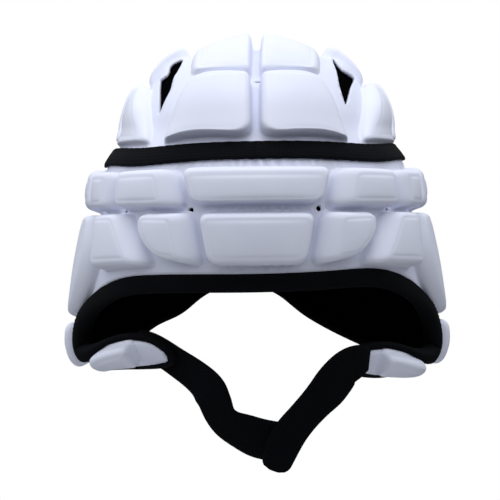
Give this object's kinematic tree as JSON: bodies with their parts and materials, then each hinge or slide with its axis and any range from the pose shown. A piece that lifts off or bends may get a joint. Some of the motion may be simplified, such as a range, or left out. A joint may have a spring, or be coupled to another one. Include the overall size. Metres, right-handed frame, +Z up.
{
  "type": "rugby headguard",
  "caption": "Soft padded rugby headguard: segmented foam pads on a stretch cover, elastic band round the crown, bound face opening, open neck and straps that lap under the chin.",
  "frame": {"origin": "the crown seat: the inside top of the lining, where the top of the wearer's head meets it", "axes": "+Z up, the face opening looks along -Y, +X towards the wearer's left"},
  "size_m": [0.206, 0.2272, 0.2285],
  "materials": {
    "white_cover": "smooth white stretch knit, a little satin",
    "white_pad": "the same stretch knit over moulded foam",
    "black_lining": "matt black knit",
    "black_elastic": "ribbed woven elastic",
    "black_binding": "matt black padded binding",
    "black_strap": "matt black laminated strap with a hook and loop lap"
  },
  "bodies": {
    "root": {"cover": "white_cover", "lining": "black_lining", "crown_band": "black_elastic", "edge_binding": "black_binding", "chin_strap_right": "black_strap", "chin_strap_left": "black_strap", "pad_crown_front_left": "white_pad", "pad_crown_top_left": "white_pad", "pad_crown_back_top_left": "white_pad", "pad_crown_back_left": "white_pad", "pad_crown_side_top_left": "white_pad", "pad_crown_side_back_left": "white_pad", "pad_side_front_left": "white_pad", "pad_side_middle_left": "white_pad", "pad_side_back_left": "white_pad", "pad_upper_1_left": "white_pad", "pad_upper_2_left": "white_pad", "pad_upper_3_left": "white_pad", "pad_upper_4_left": "white_pad", "pad_upper_5_left": "white_pad", "pad_brow_1_left": "white_pad", "pad_brow_2_left": "white_pad", "pad_temple_left": "white_pad", "pad_over_ear_left": "white_pad", "pad_ear_left": "white_pad", "pad_ear_lower_left": "white_pad", "pad_behind_ear_left": "white_pad", "pad_back_side_left": "white_pad", "pad_nape_left": "white_pad", "pad_jaw_left": "white_pad", "pad_crown_front_right": "white_pad", "pad_crown_top_right": "white_pad", "pad_crown_back_top_right": "white_pad", "pad_crown_back_right": "white_pad", "pad_crown_side_top_right": "white_pad", "pad_crown_side_back_right": "white_pad", "pad_side_front_right": "white_pad", "pad_side_middle_right": "white_pad", "pad_side_back_right": "white_pad", "pad_upper_1_right": "white_pad", "pad_upper_2_right": "white_pad", "pad_upper_3_right": "white_pad", "pad_upper_4_right": "white_pad", "pad_upper_5_right": "white_pad", "pad_brow_1_right": "white_pad", "pad_brow_2_right": "white_pad", "pad_temple_right": "white_pad", "pad_over_ear_right": "white_pad", "pad_ear_right": "white_pad", "pad_ear_lower_right": "white_pad", "pad_behind_ear_right": "white_pad", "pad_back_side_right": "white_pad", "pad_nape_right": "white_pad", "pad_jaw_right": "white_pad", "pad_upper_front": "white_pad", "pad_brow_front": "white_pad", "pad_upper_back": "white_pad", "pad_back": "white_pad"}
  },
  "joints": []
}
